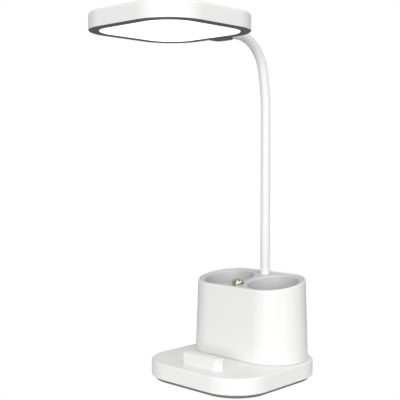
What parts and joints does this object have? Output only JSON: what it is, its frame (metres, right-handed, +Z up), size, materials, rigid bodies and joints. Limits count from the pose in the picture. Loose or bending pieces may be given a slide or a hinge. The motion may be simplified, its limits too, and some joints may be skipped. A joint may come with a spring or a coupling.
{
  "type": "desk lamp with pen holder",
  "caption": "Rechargeable desk lamp: square base with a phone stop, a double pen cup, a bendable arm and a flat square light head.",
  "frame": {"origin": "centre of the base's underside, on the plane of the anti-slip pad", "axes": "+Z up, front towards -Y, where the phone stop and the light head are; the arm rises at +Y; +X to the right"},
  "size_m": [0.14, 0.2234, 0.3597],
  "materials": {
    "white_plastic": "satin moulded white",
    "grey_plastic": "satin light grey",
    "dark_plastic": "fine-grained dark grey",
    "pad_rubber": "matte black",
    "white_silicone": "smooth matte white",
    "opal_plastic": "opal, light-diffusing",
    "polished_metal": "polished",
    "circuit_board": "green solder mask",
    "white_board": "white solder mask",
    "battery_foil": "plastic film",
    "steel": "plain"
  },
  "bodies": {
    "base": {"base_shell": "white_plastic", "bottom_cover": "dark_plastic", "anti_slip_pad": "pad_rubber", "ballast_plate": "steel", "cover_screw_1": "steel", "cover_screw_2": "steel", "cover_screw_3": "steel", "cover_screw_4": "steel", "battery_pack": "battery_foil", "control_board": "circuit_board", "charging_socket": "steel", "holder_shell": "white_plastic", "holder_screw_1": "steel", "holder_screw_2": "steel", "cup_insert": "grey_plastic", "tact_switch": "dark_plastic", "switch_board": "circuit_board", "neck_root_ferrule": "steel", "neck_nut": "steel", "neck_sleeve_0": "white_silicone", "neck_core_0": "steel"},
    "button": {"button_cap": "polished_metal"},
    "neck_1": {"neck_sleeve_1": "white_silicone", "neck_core_1": "steel"},
    "neck_2": {"neck_sleeve_2": "white_silicone", "neck_core_2": "steel"},
    "neck_3": {"neck_sleeve_3": "white_silicone", "neck_core_3": "steel"},
    "neck_4": {"neck_sleeve_4": "white_silicone", "neck_core_4": "steel"},
    "neck_5": {"neck_sleeve_5": "white_silicone", "neck_core_5": "steel"},
    "neck_6": {"neck_sleeve_6": "white_silicone", "neck_core_6": "steel"},
    "neck_7": {"neck_sleeve_7": "white_silicone", "neck_core_7": "steel"},
    "head": {"neck_sleeve_8": "white_silicone", "neck_core_8": "steel", "head_shell": "white_plastic", "head_bezel": "dark_plastic", "diffuser": "opal_plastic", "led_board": "white_board", "board_screw_1": "steel", "board_screw_2": "steel", "board_screw_3": "steel", "board_screw_4": "steel", "neck_end_ferrule": "steel", "neck_clamp": "dark_plastic", "clamp_screw_1": "steel", "clamp_screw_2": "steel"}
  },
  "joints": [
    {"name": "button_press", "type": "slide", "parent": "base", "child": "button", "axis": [0, 0.1483, -0.9889], "range_m": [0, 0.0008], "stiffness_N_per_m": 1500, "springref_m": -0.0006},
    {"name": "neck_bend_low", "type": "hinge", "parent": "base", "child": "neck_1", "pos_m": [0, 0.053, 0.12023], "axis": [1, 0, 0], "range_deg": [-16, 16]},
    {"name": "neck_sway_low", "type": "hinge", "parent": "neck_1", "child": "neck_2", "pos_m": [0, 0.053, 0.15659], "axis": [0, 1, 0], "range_deg": [-16, 16]},
    {"name": "neck_bend_low_follow", "type": "hinge", "parent": "neck_2", "child": "neck_3", "pos_m": [0, 0.053, 0.19295], "axis": [1, 0, 0], "range_deg": [-16, 16]},
    {"name": "neck_sway_low_follow", "type": "hinge", "parent": "neck_3", "child": "neck_4", "pos_m": [0, 0.053, 0.22931], "axis": [0, 1, 0], "range_deg": [-16, 16]},
    {"name": "neck_bend_high", "type": "hinge", "parent": "neck_4", "child": "neck_5", "pos_m": [0, 0.053, 0.26771], "axis": [1, 0, 0], "range_deg": [-20, 20]},
    {"name": "neck_sway_high", "type": "hinge", "parent": "neck_5", "child": "neck_6", "pos_m": [0, 0.0503, 0.30393], "axis": [0, 0.9874, 0.158], "range_deg": [-20, 20]},
    {"name": "neck_bend_high_follow", "type": "hinge", "parent": "neck_6", "child": "neck_7", "pos_m": [0, 0.03956, 0.33455], "axis": [1, 0, 0], "range_deg": [-20, 20]},
    {"name": "neck_sway_high_follow", "type": "hinge", "parent": "neck_7", "child": "head", "pos_m": [0, 0.01941, 0.34823], "axis": [0, 0.2928, 0.9562], "range_deg": [-20, 20]}
  ],
  "couplings": [
    {"joint": "neck_bend_low_follow", "follows": "neck_bend_low", "ratio": 1},
    {"joint": "neck_sway_low_follow", "follows": "neck_sway_low", "ratio": 1},
    {"joint": "neck_bend_high_follow", "follows": "neck_bend_high", "ratio": 1},
    {"joint": "neck_sway_high_follow", "follows": "neck_sway_high", "ratio": 1}
  ]
}
